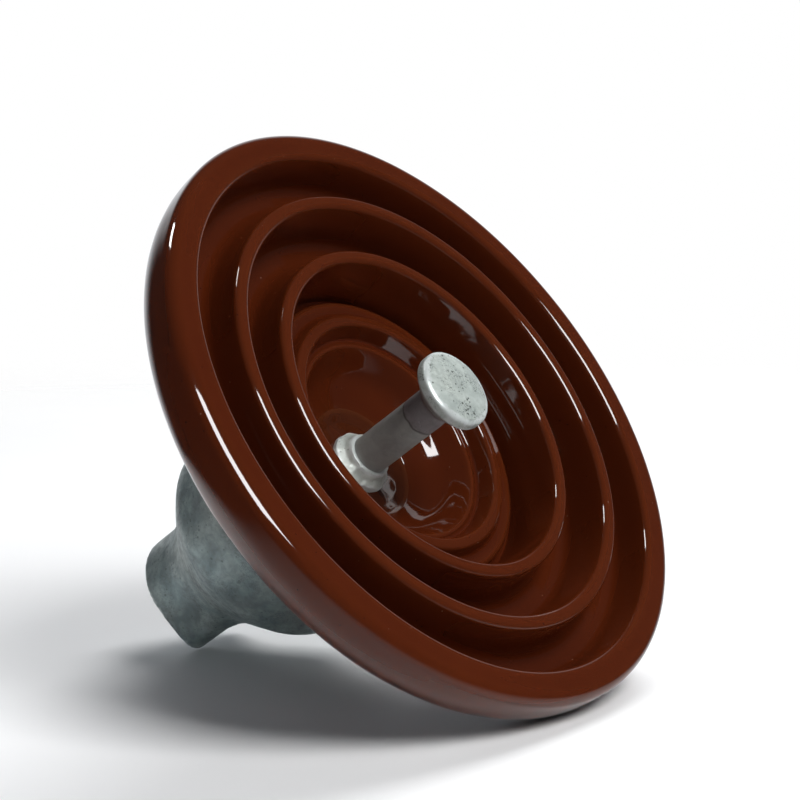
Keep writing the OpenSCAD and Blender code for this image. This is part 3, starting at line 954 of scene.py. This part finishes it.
# %% Zinc of the pin, in bands
pin_zinc, tree, shader, pale_body = zinc_skin(
    "pin_zinc", (0.56, 0.61, 0.57, 1), (0.33, 0.37, 0.35, 1), (0.44, 0.50, 0.48, 1),
    (0.03, 0.035, 0.03, 1), metal=0.2, rough=0.40, speck=0.95, size=0.85)
height = put(tree, "SeparateXYZ",
             {"Vector": put(tree, "TexCoord").outputs["Object"]}).outputs["Z"]
WANDER = 0.003                          # how far the borders of the bands stray
BALL_TO_SHANK = (-0.1490, -0.1470)
END_OF_HELD_BAND = (-0.1358, -0.1352)
RING_STARTS, RING_ENDS = (-0.1362, -0.1356), (-0.1354, -0.1348)
border = sums(tree, "MULTIPLY_ADD", object_noise(tree, 160.0, 3.0).outputs["Fac"], WANDER,
              sums(tree, "SUBTRACT", height, WANDER / 2))
shank = spread(tree, border, *BALL_TO_SHANK)
held = sums(tree, "SUBTRACT", shank, spread(tree, border, *END_OF_HELD_BAND))
ring = sums(tree, "SUBTRACT", spread(tree, border, *RING_STARTS),
            spread(tree, border, *RING_ENDS))
smooth_grey = tint(tree, use(tree, drift, "Tone", Scale=180.0, Contrast=1.6),
                   (0.25, 0.265, 0.25, 1), (0.36, 0.38, 0.36, 1))
held_grey = tint(tree, use(tree, drift, "Tone", Scale=260.0, Contrast=1.8),
                 (0.17, 0.155, 0.165, 1), (0.27, 0.255, 0.265, 1))
body = tint(tree, shank, pale_body, smooth_grey)
body = tint(tree, sums(tree, "MULTIPLY", held, 0.8, clamp=True), body, held_grey)
body = tint(tree, sums(tree, "MULTIPLY", ring, 0.7, clamp=True), body, (0.06, 0.056, 0.056, 1))
tree.links.new(body, shader.inputs["Base Color"])
pin.data.materials.append(pin_zinc)
print("pin zinc:", len(tree.nodes), "nodes")

# %% [markdown]
# ## Bronze of the clip
# Phosphor bronze strip is rolled, so it shows fine lines along its length, and it
# tarnishes brown in patches.

# %% Bronze material
bronze, tree = new_material("clip_bronze")
place = put(tree, "TexCoord").outputs["Object"]
stretch = put(tree, "Mapping", {"Vector": place, "Scale": (60.0, 60.0, 2200.0)})
lines = put(tree, "TexNoise", {"Vector": stretch.outputs[0], "Scale": 1.0, "Detail": 4.0})
tarnish = use(tree, drift, "Tone", Scale=120.0, Contrast=2.4)
body = tint(tree, tarnish, (0.52, 0.31, 0.13, 1), (0.24, 0.13, 0.06, 1))
body = tint(tree, use(tree, pits, "Mask", Scale=700.0, Size=0.25), body, (0.09, 0.07, 0.05, 1))
bump = put(tree, "Bump", {"Height": lines.outputs["Fac"], "Strength": 0.25,
                          "Distance": 0.00005})
shine = sums(tree, "MULTIPLY_ADD", tarnish, 0.25, 0.28)
shader = put(tree, "BsdfPrincipled", {"Base Color": body, "Roughness": shine, "Metallic": 0.9,
                                      "Normal": bump.outputs[0]})
put(tree, "OutputMaterial", {"Surface": shader.outputs[0]})
clip.data.materials.append(bronze)
print("bronze nodes:", len(tree.nodes))

# %% [markdown]
# ## What the unit holds inside
# Cement, sand bands, cork cushions and bitumen coats have plain turned shapes, and
# the CAD solids are right as they are. They keep their meshes and only get finishes,
# because a cut or an exploded view would show them.

# %% Finishes for the carried-over pieces
def plain_skin(name, first, second, spot, scale, rough, height, spots=0.5):
    material, tree = new_material(name)
    tone = use(tree, drift, "Tone", Scale=scale, Contrast=2.4)
    body = tint(tree, tone, first, second)
    marks = use(tree, pits, "Mask", Scale=scale * 5, Size=0.4)
    body = tint(tree, sums(tree, "MULTIPLY", marks, spots), body, spot)
    skin = use(tree, grain, "Height", Scale=scale * 6, Coarse=0.4)
    bump = put(tree, "Bump", {"Height": sums(tree, "MULTIPLY_ADD", marks, -0.5, skin),
                              "Strength": 0.7, "Distance": height})
    shine = sums(tree, "MULTIPLY_ADD", tone, 0.15, rough)
    shader = put(tree, "BsdfPrincipled", {"Base Color": body, "Roughness": shine,
                                          "Normal": bump.outputs[0]})
    put(tree, "OutputMaterial", {"Surface": shader.outputs[0]})
    return material


cement = plain_skin("portland_cement", (0.36, 0.345, 0.32, 1), (0.48, 0.465, 0.44, 1),
                    (0.2, 0.19, 0.17, 1), 90.0, 0.75, 0.0004)
sand = plain_skin("sanded_glaze", (0.20, 0.10, 0.055, 1), (0.34, 0.22, 0.14, 1),
                  (0.55, 0.48, 0.38, 1), 260.0, 0.6, 0.0006, 0.8)
cork = plain_skin("pressed_cork", (0.36, 0.22, 0.11, 1), (0.50, 0.33, 0.19, 1),
                  (0.12, 0.07, 0.04, 1), 180.0, 0.8, 0.0004, 0.8)
bitumen = plain_skin("bitumen_coat", (0.010, 0.010, 0.011, 1), (0.022, 0.021, 0.020, 1),
                     (0.05, 0.045, 0.04, 1), 110.0, 0.32, 0.0002)
FINISHES = {
    "cap_cement": cement, "pin_cement": cement, "head_sand_band": sand,
    "bore_sand_band": sand, "head_cushion": cork, "pin_cushion": cork,
    "cap_bitumen_coat": bitumen, "pin_bitumen_coat": bitumen, "cap_face_seal": seal,
}
for node_name, finish in FINISHES.items():
    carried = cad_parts[node_name]
    for place_of in carried.material_slots:
        place_of.material = finish
print("carried over:", len(FINISHES))

# %% [markdown]
# ## Last check
# A face whose slot is empty would show as plain grey without any warning, so every
# piece that shows is searched for one.

# %% Look for bare faces
def has_bare_faces(piece):
    slot_of = np.empty(len(piece.data.polygons), np.int32)
    piece.data.polygons.foreach_get("material_index", slot_of)
    finishes = [place_of.material for place_of in piece.material_slots]
    return any(i >= len(finishes) or finishes[i] is None for i in set(slot_of.tolist()))


shown = [o for o in bpy.data.objects if o.type == "MESH" and not o.hide_render]
bare = [o.name for o in shown if has_bare_faces(o)]
if bare:
    raise RuntimeError("no finish on: " + ", ".join(bare))
print("every face has a finish on", len(shown), "pieces")
